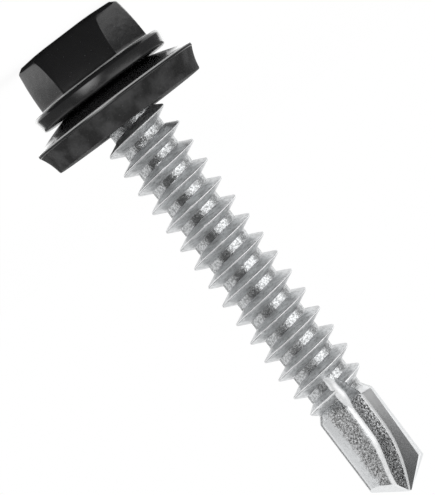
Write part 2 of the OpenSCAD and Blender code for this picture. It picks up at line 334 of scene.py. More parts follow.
def combine(piece, operation, *tools):
    """Adds other solids to a piece or cuts them out of it, and removes them."""
    for tool in tools:
        apply_modifier(piece, "BOOLEAN", {"operation": operation, "object": tool, "solver": "EXACT"})
        bpy.data.objects.remove(tool)


def cut_off(piece, point, normal):
    """Bisects a solid and clears what lies beyond the plane."""
    edit(piece)
    bpy.ops.mesh.bisect(plane_co=point, plane_no=normal, use_fill=True, clear_outer=True, threshold=DOUBLES)
    done()


def half_turn(piece):
    """A copy of a piece, with its own mesh, turned by half a turn about the axis."""
    copy = piece.copy()
    copy.data = piece.data.copy()
    bpy.context.collection.objects.link(copy)
    edit(copy)
    bpy.ops.transform.rotate(value=math.pi, orient_axis="Z", center_override=(0, 0, 0))
    done()
    return copy


def finish_piece(piece, body, slot, materials, angle, *nodes):
    """Gives a piece its finishes and its shading, and puts it on its body in the place of CAD nodes."""
    for material in materials:
        piece.data.materials.append(material)
    choose(piece)
    bpy.ops.object.shade_smooth_by_angle(angle=math.radians(angle))
    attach(piece, body)
    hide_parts(*nodes)


def arithmetic(operation):
    """Two methods for one operator. The second is for a socket that stands on its right."""
    return (
        lambda self, other: self.finish.maths(operation, self, other),
        lambda self, other: self.finish.maths(operation, other, self),
    )


class Socket:
    """A node's output that can be written in sums and products, which become Math nodes."""

    def __init__(self, finish, output):
        self.finish = finish
        self.output = output

    __add__, __radd__ = arithmetic("ADD")
    __sub__, __rsub__ = arithmetic("SUBTRACT")
    __mul__, __rmul__ = arithmetic("MULTIPLY")


def pick(sockets, key):
    """A socket by its number, or the enabled one of that name."""
    if isinstance(key, int):
        return sockets[key]
    return next(s for s in sockets if s.enabled and s.name == key)


class Finish:
    """The nodes of one material, or of the world."""

    def __init__(self, name, kind="materials"):
        self.owner = getattr(bpy.data, kind).new(name)
        self.owner.use_nodes = True
        self.tree = self.owner.node_tree
        self.tree.nodes.clear()

    def node(self, kind, settings, inputs):
        """Adds a node, sets it up, then fills or links its inputs. Gives its outputs by name."""
        made = self.tree.nodes.new(kind)
        for key, value in settings.items():
            if key == "stops":
                ramp = made.color_ramp.elements
                for place, level in value[2:]:
                    ramp.new(place)
                for element, (place, level) in zip(ramp, sorted(value)):
                    element.position = place
                    element.color = (level, level, level, 1)
            else:
                setattr(made, key, value)
        for key, value in inputs.items():
            socket = pick(made.inputs, key)
            if isinstance(value, Socket):
                self.tree.links.new(value.output, socket)
            else:
                socket.default_value = value
        return {o.name: Socket(self, o) for o in made.outputs if o.enabled}

    def maths(self, operation, first, second):
        """One step of arithmetic."""
        return self.node("ShaderNodeMath", {"operation": operation}, {0: first, 1: second})["Value"]

    def along(self, direction):
        """Distance from the origin along a direction, in millimetres."""
        inputs = {0: self.place(), 1: [part / MM for part in direction]}
        return self.node("ShaderNodeVectorMath", {"operation": "DOT_PRODUCT"}, inputs)["Value"]

    def place(self, stretch=(1, 1, 1)):
        """Object coordinates, stretched where a pattern runs along an axis."""
        where = self.node("ShaderNodeTexCoord", {}, {})["Object"]
        return self.node("ShaderNodeMapping", {}, {"Vector": where, "Scale": stretch})["Vector"]

    def noise(self, size, detail=3, rough=0.55, stretch=(1, 1, 1), distortion=0):
        """Noise from 0 to 1 with features of a size in millimetres."""
        inputs = {
            "Vector": self.place(stretch), "Scale": 1 / (size * MM), "Detail": detail, "Roughness": rough,
            "Distortion": distortion,
        }
        return self.node("ShaderNodeTexNoise", {}, inputs)["Fac"]

    def ramp(self, value, *stops):
        """A value drawn through stops of place and level."""
        return self.node("ShaderNodeValToRGB", {"stops": list(stops)}, {"Fac": value})["Color"]

    def blend(self, share, first, second):
        """A colour between two colours."""
        return self.mix(share, (*first, 1), (*second, 1))

    def mix(self, share, first, second):
        """A colour between two colours, each given as a socket or with its alpha."""
        inputs = {"Factor": share, "A": first, "B": second}
        return self.node("ShaderNodeMix", {"data_type": "RGBA"}, inputs)["Result"]

    def bump(self, height, depth=1):
        """A normal from a height, with its depth in millimetres."""
        inputs = {"Height": height, "Distance": depth * MM, "Strength": 1}
        return self.node("ShaderNodeBump", {}, inputs)["Normal"]

    def end(self, surface, kind="Material"):
        """Ends the nodes in a surface, and gives the material or the world."""
        self.node("ShaderNodeOutput" + kind, {}, {"Surface": surface})
        return self.owner

    def shade(self, inputs):
        """Ends the material in a Principled shader."""
        return self.end(self.node("ShaderNodeBsdfPrincipled", {}, inputs)["BSDF"])


def gloss_paint():
    """Black gloss paint with a faint orange peel and a little dust, and a painted highlight: a pale grey band
    at the foot of the hexagon and on the rim of the washer."""
    colours = sizes("finish_colours")
    finish = Finish("gloss_paint")
    peel = finish.noise(0.9, detail=2)
    dust = finish.ramp(finish.noise(0.12, detail=2), (0.68, 0), (0.78, 1))
    height = finish.along((0, 0, 1))
    foot = sizes("head_sizes").hex_h / MM
    rim = (rim_under_z() - sizes("washer_sizes").plate_t) / MM
    # Painted highlight: a pale grey band at the hexagon's foot and on the washer plate's rim stands in for
    # the light that the fillet and the rim's edge catch.
    highlight_band_w, painted_highlight_grey, dust_grey = 0.25, (0.36, 0.36, 0.36, 1), (0.07, 0.07, 0.072)
    painted_highlight_bands = []
    for z in (foot, rim):
        across = (height - z) * (1 / highlight_band_w) + 0.5
        painted_highlight_bands.append(finish.ramp(across, (0.2, 0), (0.42, 1), (0.66, 1), (0.86, 0)))
    painted_highlight_band = finish.maths("MAXIMUM", *painted_highlight_bands)
    dusty = finish.blend(dust * 0.35, colours.paint, dust_grey)
    return finish.shade({
        "Base Color": finish.mix(painted_highlight_band, dusty, painted_highlight_grey),
        "Roughness": 0.15 + 0.06 * finish.noise(0.5) + 0.2 * dust,
        "IOR": 1.55,
        "Normal": finish.bump(peel, 0.012),
    })


def forging(finish, dark, bare):
    """Look of zinc on a rough forged face: bright specks on a dark ground, of which bare is the share that
    stays without specks. Gives colour, metal, roughness and height."""
    specks = finish.noise(0.13, detail=5, rough=0.72, distortion=0.6)
    specks = finish.ramp(specks, (bare, 0), (bare + 0.16, 1))
    dents = finish.noise(0.2, detail=4, rough=0.65, distortion=0.5)
    colour = finish.blend(specks, (dark, dark, dark), SPECK_AND_HIGHLIGHT_WHITE)
    return colour, 1 - 0.4 * specks, 0.34 - 0.12 * specks, dents * 0.05


def drill_share(height):
    """A height in millimetres as a share of the drill's length, from its shoulder to its point."""
    drill_l = sizes("drill_sizes").drill_l
    return (height - (point_z() - drill_l) / MM) * (MM / drill_l)


def rolled_zinc():
    """Bright zinc plate with fine dents. On the drill's flats it turns rough, as forged, and beside a flute's
    crest it carries a painted highlight. Stops across the flats are in millimetres, and stops along the drill
    are shares."""
    colours, heel_turn = sizes("finish_colours"), sizes("drill_sizes").heel_turn
    finish = Finish("rolled_zinc")
    dents = finish.noise(0.2, detail=4, rough=0.62, distortion=0.4)
    spots = finish.ramp(finish.noise(0.16, detail=5, rough=0.7), (0.4, 1), (0.56, 0))
    forged, forged_metal, forged_rough, forged_height = forging(finish, 0.35, 0.43)
    side = finish.maths("SIGN", finish.along(polar(1, heel_turn, 0)), 0)
    ragged = (finish.noise(0.5, detail=4) - 0.5) * 0.9
    beside = finish.along(polar(1, heel_turn + math.pi / 2, 0)) * side + ragged
    share = drill_share(finish.along((0, 0, 1)) + ragged)
    calm = finish.ramp(share, (0, 1), (0.1, 0.15))
    rolled = finish.blend(spots * calm * 0.85, colours.zinc, colours.zinc_shade)
    crest = finish.ramp(share, (0.4, 0), (0.55, 0.18), (0.7, 0.6), (0.86, 1)) * 0.66 - 0.9
    zone = finish.ramp(beside, (0.62, 1), (0.88, 0)) * finish.ramp(beside - crest, (0.12, 0), (0.42, 1))
    # Painted highlight: beside a flute's crest the zinc is mixed to near-white, less metallic and rougher.
    painted_glint = finish.ramp(beside - crest, (0, 1), (0.36, 0)) * finish.ramp(share, (0, 0), (0.04, 1))
    zone = zone * finish.ramp(share, (0, 0), (0.04, 1), (0.77, 1), (0.84, 0))
    return finish.shade({
        "Base Color": finish.mix(painted_glint, finish.mix(zone, rolled, forged), (*SPECK_AND_HIGHLIGHT_WHITE, 1)),
        "Metallic": (1 - 0.45 * painted_glint) * (1 - zone) + forged_metal * zone,
        "Roughness": (0.14 + 0.14 * spots + 0.2 * painted_glint) * (1 - zone) + forged_rough * zone,
        "Normal": finish.bump(dents * calm * 0.03 * (1 - zone) + forged_height * zone),
    })


def forged_zinc():
    """Rough zinc in the hollow of a flute."""
    finish = Finish("forged_zinc")
    colour, metal, rough, height = forging(finish, 0.05, 0.45)
    return finish.shade({
        "Base Color": colour, "Metallic": metal, "Roughness": rough, "Normal": finish.bump(height, 1.4)
    })


def flank_zinc():
    """Duller zinc on the flanks of the thread and in a flute's run-out, streaked round the screw."""
    colours = sizes("finish_colours")
    finish = Finish("flank_zinc")
    streaks = finish.noise(0.3, detail=4, rough=0.6, stretch=(0.5, 0.5, 2))
    spots = finish.ramp(finish.noise(0.15, detail=4, rough=0.65), (0.35, 1), (0.5, 0))
    drawn = finish.ramp(streaks, (0.36, 0.5), (0.6, 0))
    return finish.shade({
        "Base Color": finish.blend(spots * 0.5 + drawn, colours.zinc, colours.zinc_shade),
        "Metallic": 0.7,
        "Roughness": 0.24 + 0.12 * streaks,
        "Normal": finish.bump(streaks, 0.04),
    })


def bright_zinc():
    """Zinc with a painted highlight, near-white and only partly metallic, on the crest and in the bottom of a
    flute, on its fin and on the thread's crest.
    """
    finish = Finish("bright_zinc")
    spots = finish.ramp(finish.noise(0.3, detail=3), (0.35, 0), (0.6, 1))
    return finish.shade({
        "Base Color": finish.blend(spots, (0.86, 0.87, 0.88), (0.95, 0.955, 0.96)),
        "Metallic": 0.4,
        "Roughness": 0.36,
        "Normal": finish.bump(finish.noise(0.25), 0.01),
    })


def struck_zinc():
    """Smooth darker zinc on the rake faces with fine streaks, and a painted reflection that makes it lighter
    towards the shoulder.
    """
    finish = Finish("struck_zinc")
    streaks = finish.noise(0.22, detail=3, stretch=(1, 1, 0.1))
    share = drill_share(finish.along((0, 0, 1)))
    # Painted reflection: the colour runs from dark at the point to light towards the shoulder.
    light = finish.ramp(share + 0.2 * (streaks - 0.5), (0.05, 1), (0.4, 0.4), (0.8, 0))
    return finish.shade({
        "Base Color": finish.blend(light, (0.22, 0.223, 0.226), (0.9, 0.905, 0.91)),
        "Metallic": 0.6,
        "Roughness": 0.24 + 0.14 * streaks,
        "Normal": finish.bump(streaks, 0.004),
    })


def seal_rubber():
    """Matte rubber with a soft bloom and a fine grain."""
    colours = sizes("finish_colours")
    finish = Finish("seal_rubber")
    bloom = finish.ramp(finish.noise(1.6, detail=4, rough=0.6), (0.4, 0), (0.62, 0.7))
    specks = finish.ramp(finish.noise(0.14, detail=2), (0.66, 0), (0.74, 1))
    grain = finish.noise(0.16, detail=4, rough=0.7)
    return finish.shade({
        "Base Color": finish.blend(bloom + 0.8 * specks, colours.rubber, colours.rubber_bloom),
        "Roughness": 0.62 + 0.2 * grain,
        "Specular IOR Level": 0.4,
        "Normal": finish.bump(grain, 0.03),
    })


def soft_least(a, b, reach):
    """The smaller of two lengths, rounded over where they are nearly equal."""
    overlap = max(reach - abs(a - b), 0) / reach
    return min(a, b) - overlap * overlap * reach / 4


# Steps along a flat and round a turned corner, and how far the join between them reaches
FLAT_STEPS = 8
CORNER_STEPS = 14
JOIN_REACH = math.radians(1.6)


def hex_ring(apothem, turned_r, height, soft=0.04 * MM):
    """A ring round the hexagon with its corners turned down to a radius, at a height given by the radius."""
    half = math.acos(min(1, apothem / turned_r)) - JOIN_REACH
    ring = []
    for side in range(6):
        for k in range(FLAT_STEPS + CORNER_STEPS):
            if k <= FLAT_STEPS:
                offset = half * (2 * k / FLAT_STEPS - 1)
            else:
                offset = between(half, math.pi / 3 - half, (k - FLAT_STEPS) / CORNER_STEPS)
            beside = min(offset, math.pi / 3 - offset)
            radius = soft_least(apothem / math.cos(beside), turned_r, soft)
            around = sizes("head_sizes").hex_turn + math.radians(30 + 60 * side) + offset
            ring.append(polar(radius, around, height(radius)))
    return ring


def round_ring(radius, z):
    """A round ring with as many points as a ring of the hexagon."""
    count = FLAT_STEPS + CORNER_STEPS
    start = sizes("head_sizes").hex_turn + math.radians(30)
    angles = [start + math.radians(60) * (i - FLAT_STEPS / 2) / count for i in range(6 * count)]
    return [polar(radius, angle, z) for angle in angles]


def mix_rings(first, second, share, height):
    """A ring between two rings, at a height given by the radius."""
    ring = [a.lerp(b, share) for a, b in zip(first, second)]
    return [Vector((p.x, p.y, height(p.xy.length))) for p in ring]


def wave(share):
    """A soft step from 0 to 1."""
    return (1 - math.cos(math.pi * share)) / 2


def turned_corner_r(z):
    """Radius that the hexagon's corners are turned down to, at a height over the rim."""
    s = sizes("head_sizes")
    flat_r = s.across_flats / 2
    corner_r = flat_r / math.cos(math.pi / 6) - 0.02 * MM
    chamfer = flat_r - 0.1 * MM + z / math.tan(math.pi / 6)
    return soft_least(chamfer, corner_r - s.corner_clip * max(0, 1 - z / s.hex_h) ** 2, 0.12 * MM)


def flange_top(radius):
    """Height of the flange's upper face at a radius."""
    s = sizes("head_sizes")
    return s.hex_h + (radius - s.across_flats / 2) * math.tan(s.flange_fall)


def recess_rings():
    """Rings from the dimple's floor out to the land on the rim."""
    s = sizes("head_sizes")
    dimple_r, flat_r = s.dimple_d / 2, s.across_flats / 2
    rings = []
    for share in shares(8):
        radius = between(dimple_r - 1.1 * s.dimple_h, dimple_r, share)
        rings.append(round_ring(radius, s.recess_h + s.dimple_h * (1 - wave(share))))
    slope_h, soft = s.recess_h - 0.06 * MM, 0.16 * MM
    land_turned_r = turned_corner_r(0) - s.rim_land
    for share in shares(8):
        apothem = between(flat_r - s.rim_w, flat_r - s.rim_round - s.rim_land, share)
        turned = min(apothem / math.cos(math.pi / 6) - 0.1 * MM, land_turned_r)
        z = slope_h * (1 - wave(share))
        rings.append(hex_ring(apothem, turned, lambda r: z, soft))
    return rings


def side_rings():
    """Rings over the rim's round, down the flats and round the fillet at their foot."""
    s = sizes("head_sizes")
    flat_r = s.across_flats / 2
    rings = []
    for share in shares(8):
        a = math.pi / 2 * share
        z = s.rim_round * (1 - math.cos(a))
        apothem = flat_r - s.rim_round + s.rim_round * math.sin(a)
        rings.append(hex_ring(apothem, turned_corner_r(z), lambda r: z))
    for share in (0.2, 0.35, 0.5, 0.65, 0.8, 0.92):
        z = share * s.hex_h
        rings.append(hex_ring(flat_r, turned_corner_r(z), lambda r: z))
    foot = hex_ring(flat_r, turned_corner_r(s.hex_h), flange_top)
    for share in shares(6):
        a = (math.pi / 2 - s.flange_fall) * share
        out = s.foot_fillet * (1 - math.cos(a))
        rise = s.foot_fillet * (math.sin(a) - 1)
        rings.append([polar(p.xy.length + out, math.atan2(p.y, p.x), p.z + rise) for p in foot])
    return rings


def flange_rings(inner):
    """Rings over the flange, from its ring at the hexagon's foot, round its edge and in to the neck."""
    s = sizes("head_sizes")
    flange_r = s.flange_d / 2
    edge_r = flange_r - s.flange_round
    side_z = flange_top(edge_r) + s.flange_round
    edge = arc((edge_r, side_z), s.flange_round, -90 + math.degrees(s.flange_fall), 0, 9)
    outer = round_ring(*edge[0])
    rings = [mix_rings(inner, outer, share, flange_top) for share in (0.3, 0.65)]
    foot_r, foot_z = flange_r - s.flange_undercut, seat_z()
    side = [
        (between(flange_r, foot_r + 0.1 * MM, share ** 1.15), between(side_z, foot_z - 0.15 * MM, share))
        for share in (0.2, 0.4, 0.6, 0.8, 1)
    ]
    under = [
        (foot_r + 0.07 * MM, foot_z - 0.09 * MM),
        (foot_r + 0.02 * MM, foot_z - 0.04 * MM),
        (foot_r - 0.06 * MM, foot_z - 0.01 * MM),
        (sizes("washer_sizes").crown_d / 2 + 0.05 * MM, foot_z),
        (sizes("shank_sizes").neck_d / 2, foot_z),
    ]
    return rings + [round_ring(r, z) for r, z in edge + side + under]


class SCREW_OT_head(bpy.types.Operator):
    """Model the indented hexagon and the flange as one painted skin"""

    bl_idname = "screw.head"
    bl_label = "Hexagon and flange"

    def execute(self, context):
        rings = recess_rings() + side_rings()
        head = draw_rings("head", rings + flange_rings(rings[-1]))
        finish_piece(head, "screw", "black_paint", [gloss_paint()], 28, "screw")
        return {"FINISHED"}


# Numbers of the shank's finishes
ROLLED, FORGED, STRUCK, PAINTED_HIGHLIGHT, FLANK = range(5)
# Slope from which a face of the thread is a flank, and slope and height over the core that bound its crest
FLANK_SLOPE, CREST_SLOPE, CREST_OVER = 0.6, 0.35, 0.3 * MM


def ridge_share(turns, turns_left):
    """Height of the ridge as a share of its full height, by turns from each end."""
    run_in = between(0.12, 1, math.sin(math.pi / 2 * clamp(turns / 0.35)))
    run_out = between(0.6, 1, math.sin(math.pi / 2 * clamp(turns_left / 2.2)))
    return clamp(1 + min(turns, turns_left) / 0.12) * min(run_in, run_out)


def ridge_foot_w(s):
    """Half the width of the ridge at the core: the flanks touch the round crest."""
    half = s.flank_angle / 2
    flank_h = (s.thread_d - s.core_d) / 2 - s.crest_round * (1 - math.sin(half))
    return s.crest_round * math.cos(half) + flank_h * math.tan(half)


def pitch_profile(s):
    """Profile of one pitch, from the middle of one root to the middle of the next."""
    core_r, thread_r = s.core_d / 2, s.thread_d / 2
    slope = math.degrees(s.flank_angle / 2)
    ridge_foot = ridge_foot_w(s)
    tangent = s.root_fillet * math.tan(math.radians(90 - slope) / 2)
    fillet = arc((core_r + s.root_fillet, -ridge_foot - tangent), s.root_fillet, 180, 90 + slope, 6)
    top = arc((thread_r - s.crest_round, 0), s.crest_round, -90 + slope, 0, 4)
    rising = [(core_r, -s.pitch / 2)] + fillet + top
    falling = [(r, -z) for r, z in reversed(rising[:-1])]
    return rising + falling


def threaded_core(start_z, end_z):
    """The core with its rolled ridge, closed by a flat at each end."""
    s = sizes("shank_sizes")
    thread_start = seal_z() + 0.15 * MM
    thread_end = point_z() - sizes("drill_sizes").drill_l - 0.1 * MM
    first_z = thread_start + s.pitch * (-s.thread_turn / math.tau - 1)
    turns = math.ceil((end_z - first_z) / s.pitch) + 1
    ridge = draw_profile("shank", [(r, first_z + z) for r, z in pitch_profile(s)])
    apply_modifier(ridge, "SCREW", {
        "axis": "Z",
        "angle": math.tau,
        "screw_offset": s.pitch,
        "iterations": turns,
        "steps": s.steps,
        "render_steps": s.steps,
    })
    close_up(ridge)
    lower_ridge(ridge, thread_start, thread_end)
    # Steep faces get the duller flank zinc; the crest's faces get zinc with a painted highlight.
    for face in ridge.data.polygons:
        slope = abs(face.normal.z)
        if slope > FLANK_SLOPE:
            face.material_index = FLANK
        elif slope < CREST_SLOPE and face.center.xy.length > s.core_d / 2 + CREST_OVER:
            face.material_index = PAINTED_HIGHLIGHT
    cut_off(ridge, (0, 0, start_z), (0, 0, -1))
    cut_off(ridge, (0, 0, end_z), (0, 0, 1))
    close_up(ridge)
    return ridge


def lower_ridge(ridge, start_z, end_z):
    """Draws the ridge down to the core at both ends of the thread."""
    s = sizes("shank_sizes")
    core_r = s.core_d / 2
    total = (end_z - start_z) / s.pitch
    for vert in ridge.data.vertices:
        radius = vert.co.xy.length
        around = math.atan2(vert.co.y, vert.co.x)
        phase = (around - s.thread_turn) / math.tau
        turn = round((vert.co.z - start_z) / s.pitch - phase) + phase
        if radius > core_r:
            vert.co.xy *= between(core_r, radius, ridge_share(turn, total - turn)) / radius


def neck(end_z):
    """The plain neck with its fillet, tapered to the core."""
    s = sizes("shank_sizes")
    neck_r, core_r = s.neck_d / 2, s.core_d / 2
    seat = seat_z()
    fillet = arc((neck_r + s.neck_fillet, seat + s.neck_fillet), s.neck_fillet, 270, 180, 6)
    taper = neck_r - core_r
    return turn_profile("neck", [
        (0, seat - BITE), (neck_r + s.neck_fillet, seat - BITE), *fillet,
        (neck_r, end_z), (core_r - 0.1 * MM, end_z + taper + 0.1 * MM), (0, end_z + taper + 0.1 * MM),
    ])


def drill_blank():
    """The drill before its flutes, with a flat behind each land."""
    s = sizes("drill_sizes")
    core_r, drill_r = sizes("shank_sizes").core_d / 2, s.drill_d / 2
    shoulder = point_z() - s.drill_l
    rise = (drill_r - core_r) / s.shoulder_l
    blank = turn_profile("blank", [
        (0, shoulder - core_r / rise),
        (drill_r - 0.05 * MM, shoulder + s.shoulder_l - 0.05 * MM / rise),
        (drill_r - 0.015 * MM, shoulder + s.shoulder_l),
        (drill_r, shoulder + s.shoulder_l + 0.12 * MM),
        (drill_r, point_z()),
        (0, point_z()),
    ])
    for side in (0, math.pi):
        normal = polar(1, s.heel_turn + side, 0)
        cut_off(blank, normal * (drill_r - s.heel_depth), normal)
    close_up(blank)
    return blank


def surface_y(x):
    """Distance of the blank's surface from the plane of the axis, beside a flute."""
    s = sizes("drill_sizes")
    drill_r = s.drill_d / 2
    flat = (drill_r - s.heel_depth - x * math.cos(s.heel_turn)) / math.sin(s.heel_turn)
    return min(math.sqrt(drill_r * drill_r - x * x), flat)


def curve(start, middle, end, steps):
    """Points of a curve that leaves start and reaches end in line with middle."""
    return [start * (1 - t) ** 2 + middle * 2 * t * (1 - t) + end * t * t for t in shares(steps)]


# Places along a flute, as shares of the drill's length from the point: its outer wall steps in, its finish
# turns into that of the thread's flanks, and its bottom runs out. Its sections stand closest together there.
STEP_AT, STEP_SPAN = 0.92, 0.012
FLANK_AT = 0.93
RUN_OUT_AT, RUN_OUT_SPAN = 0.96, 0.27
FLUTE_STATIONS = [-0.1, *(k / 40 for k in range(37)), 0.918, 0.935, *(0.95 + k / 50 for k in range(15))]
# Points on a flute's hollow wall in all, on its crest and in its bottom
WALL_POINTS = 24
CREST_POINTS = 5
BOTTOM_POINTS = 3


def flute_ring(below):
    """Section of a flute at a distance from the point: a V with one hollow wall and a rounded crest."""
    s = sizes("drill_sizes")
    shank = sizes("shank_sizes")
    drill_r, share = s.drill_d / 2, below / s.drill_l
    opening = math.sin(math.pi / 2 * clamp(below / s.flute_curve_l))
    run_out = clamp((share - RUN_OUT_AT) / RUN_OUT_SPAN)
    reach = shank.thread_d / 2 + BITE
    margin_x = drill_r - between(s.margin_w, s.margin_end_w, clamp(share))
    margin_x = between(margin_x, s.step_x, clamp((share - STEP_AT) / STEP_SPAN))
    margin = Vector((margin_x, math.sqrt(drill_r ** 2 - margin_x ** 2)))
    crest_end = 0.3 * MM
    crest_x = between(-s.lip_sweep, crest_end, opening ** 3)
    bottom_turn = math.radians(24)
    deep = s.flute_bottom * Vector((math.cos(bottom_turn), math.sin(bottom_turn)))
    bottom = between(Vector((-0.15 * MM, 0.3 * s.web_t)), deep, opening ** 0.85)
    end = Vector((crest_x + 0.15 * MM, shank.core_d / 2 + 0.06 * MM))
    low = between(bottom, end, run_out)
    past = between(bottom, margin, (reach - bottom.x) / (margin_x - bottom.x))
    out = between(past, Vector((crest_x + 0.4 * MM, reach - 0.1 * MM)), run_out)
    corner = between(Vector((reach, reach)), Vector((crest_x + 0.35 * MM, reach)), run_out)
    crest = Vector((crest_x, surface_y(crest_x)))
    hollow = Vector((crest_x + 0.2 * MM * (1 - run_out), low.y + 0.3 * (crest.y - low.y)))
    wall = curve(crest, hollow, low, 14)
    soft = s.crest_round * (1 - 0.6 * run_out)
    left_x = crest_x - soft
    left = Vector((left_x, surface_y(left_x) + 0.02 * MM))
    inner = min(range(1, len(wall)), key=lambda i: abs((wall[i] - crest).length - soft))
    crest_curve = curve(left, crest, wall[inner], 7)
    rake = (out - low).normalized()
    fillet_l = min(s.bottom_round, 0.3 * (out - low).length) * (0.4 + 0.6 * opening)
    last = next(i for i in reversed(range(len(wall))) if (wall[i] - low).length >= fillet_l)
    low_curve = curve(wall[last], low, low + rake * fillet_l, 5)
    walls = resample(crest_curve + wall[inner + 1:last] + low_curve, WALL_POINTS)
    section = walls + [between(low_curve[-1], out, 0.5), out, corner, Vector((left_x, reach))]
    return [Vector((p.x, p.y, point_z() - below)) for p in section]


def resample(points, count):
    """Points at even steps along a line of points."""
    lengths = [0]
    for a, b in zip(points, points[1:]):
        lengths.append(lengths[-1] + (b - a).length)
    even = []
    k = 0
    for i in range(count):
        goal = lengths[-1] * i / (count - 1)
        while k < len(points) - 2 and lengths[k + 1] < goal:
            k += 1
        even.append(between(points[k], points[k + 1], (goal - lengths[k]) / (lengths[k + 1] - lengths[k])))
    return even


def flute():
    """The cutter of one flute: its hollow wall is forged, its rake is struck smooth, its crest and bottom
    carry a painted highlight, and its run-out is like the thread's flanks."""
    drill_l = sizes("drill_sizes").drill_l
    flank_z = point_z() - FLANK_AT * drill_l

    def finish_of(column, z):
        if column < CREST_POINTS:
            return PAINTED_HIGHLIGHT
        if z < flank_z:
            return FLANK
        if column < WALL_POINTS - BOTTOM_POINTS:
            return FORGED
        if column < WALL_POINTS - 1:
            return PAINTED_HIGHLIGHT
        return STRUCK

    return draw_rings("flute", [flute_ring(share * drill_l) for share in reversed(FLUTE_STATIONS)], finish_of)


# Sections of the fin: its middle across, its distance from the plane of the axis, its height over the
# shoulder and its radius, in millimetres
FIN = (
    (0, 1.95, -1.5, 0.08),
    (0.12, 2.02, -0.9, 0.22),
    (0.18, 2.04, -0.3, 0.3),
    (0.16, 2.08, 0.3, 0.36),
    (0.1, 2.06, 0.8, 0.36),
    (0.08, 1.98, 1.3, 0.3),
    (0.02, 1.88, 1.7, 0.24),
    (-0.12, 1.78, 2, 0.14),
)


def crest_fin():
    """The rounded fin in which a flute's crest runs up over the last turns of the thread."""
    shoulder = point_z() - sizes("drill_sizes").drill_l
    rings = []
    for x, y, up, radius in FIN:
        middle = Vector((x * MM, y * MM, shoulder - up * MM))
        rings.append([middle + polar(radius * MM, math.tau * k / 16, 0) for k in range(16)])
    # The fin carries the painted highlight of a flute's crest.
    return draw_rings("fin", rings, lambda column, z: PAINTED_HIGHLIGHT)


def sharpen(shank):
    """Cuts the relief behind each lip and the bevel before it. Faces that lie along a cut are its facet."""
    s = sizes("drill_sizes")
    fall, along = 1 / math.tan(s.point_angle / 2), 0.9999
    for side in (1, -1):
        for slope in (-math.tan(s.lip_relief), math.tan(s.lip_bevel)):
            normal = Vector((side * fall, side * slope, 1)).normalized()
            cut_off(shank, (0, side * s.web_t / 2, point_z()), normal)
            for face in shank.data.polygons:
                if face.normal.dot(normal) > along:
                    face.material_index = ROLLED


class SCREW_OT_shank(bpy.types.Operator):
    """Model the neck, the rolled thread and the fluted drill point as one zinc-plated solid"""

    bl_idname = "screw.shank"
    bl_label = "Thread and drill point"

    def execute(self, context):
        s, drill = sizes("shank_sizes"), sizes("drill_sizes")
        neck_end = seal_z() - ridge_foot_w(s) - (s.neck_d - s.core_d) / 2
        core_end = point_z() - drill.drill_l + drill.shoulder_l
        finishes = [rolled_zinc(), forged_zinc(), struck_zinc(), bright_zinc(), flank_zinc()]
        shank = threaded_core(neck_end - BITE, core_end + BITE)
        plain_neck, blank, cutter, fin = neck(neck_end), drill_blank(), flute(), crest_fin()
        for solid in (shank, plain_neck, blank, cutter, fin):
            for material in finishes:
                solid.data.materials.append(material)
        combine(shank, "UNION", plain_neck, blank)
        combine(shank, "DIFFERENCE", half_turn(cutter), cutter)
        combine(shank, "UNION", half_turn(fin), fin)
        sharpen(shank)
        close_up(shank)
        finish_piece(shank, "screw", "zinc_plated_steel", [], 26, "screw")
        return {"FINISHED"}


def cone(z, end_r):
    """The plate's curve from its crown outwards, on the side that starts at a height."""
    s = sizes("washer_sizes")
    crown_r, plate_r = s.crown_d / 2, s.plate_d / 2
    line = []
    for share in shares(16):
        radius = between(crown_r, end_r, share ** 2)
        line.append((radius, z + s.cone_h * ((radius - crown_r) / (plate_r - crown_r)) ** 1.1))
    return line


class SCREW_OT_washer_plate(bpy.types.Operator):
    """Model the coned metal plate of the sealing washer"""

    bl_idname = "screw.washer_plate"
    bl_label = "Washer plate"

    def execute(self, context):
        s = sizes("washer_sizes")
        crown_z = seat_z() + s.seat_clearance
        lip, soft = 0.09 * MM, 0.06 * MM
        edge_r, hole_r = s.plate_d / 2 - lip, s.plate_hole_d / 2 + soft
        top = cone(crown_z, edge_r)
        under = cone(crown_z + s.plate_t, edge_r)[::-1]
        rim = arc((edge_r, top[-1][1] + lip), lip, -80, 0, 4)
        rim += arc((edge_r, under[0][1] - lip), lip, 0, 80, 4)
        hole = arc((hole_r, crown_z + s.plate_t - soft), soft, 90, 180, 3)
        hole += arc((hole_r, crown_z + soft), soft, 180, 270, 3)
        plate = turn_profile("washer_plate_skin", hole + top + rim + under + hole[:1], 128)
        finish_piece(plate, "sealing_washer", "black_paint", [gloss_paint()], 32, "washer_plate")
        return {"FINISHED"}


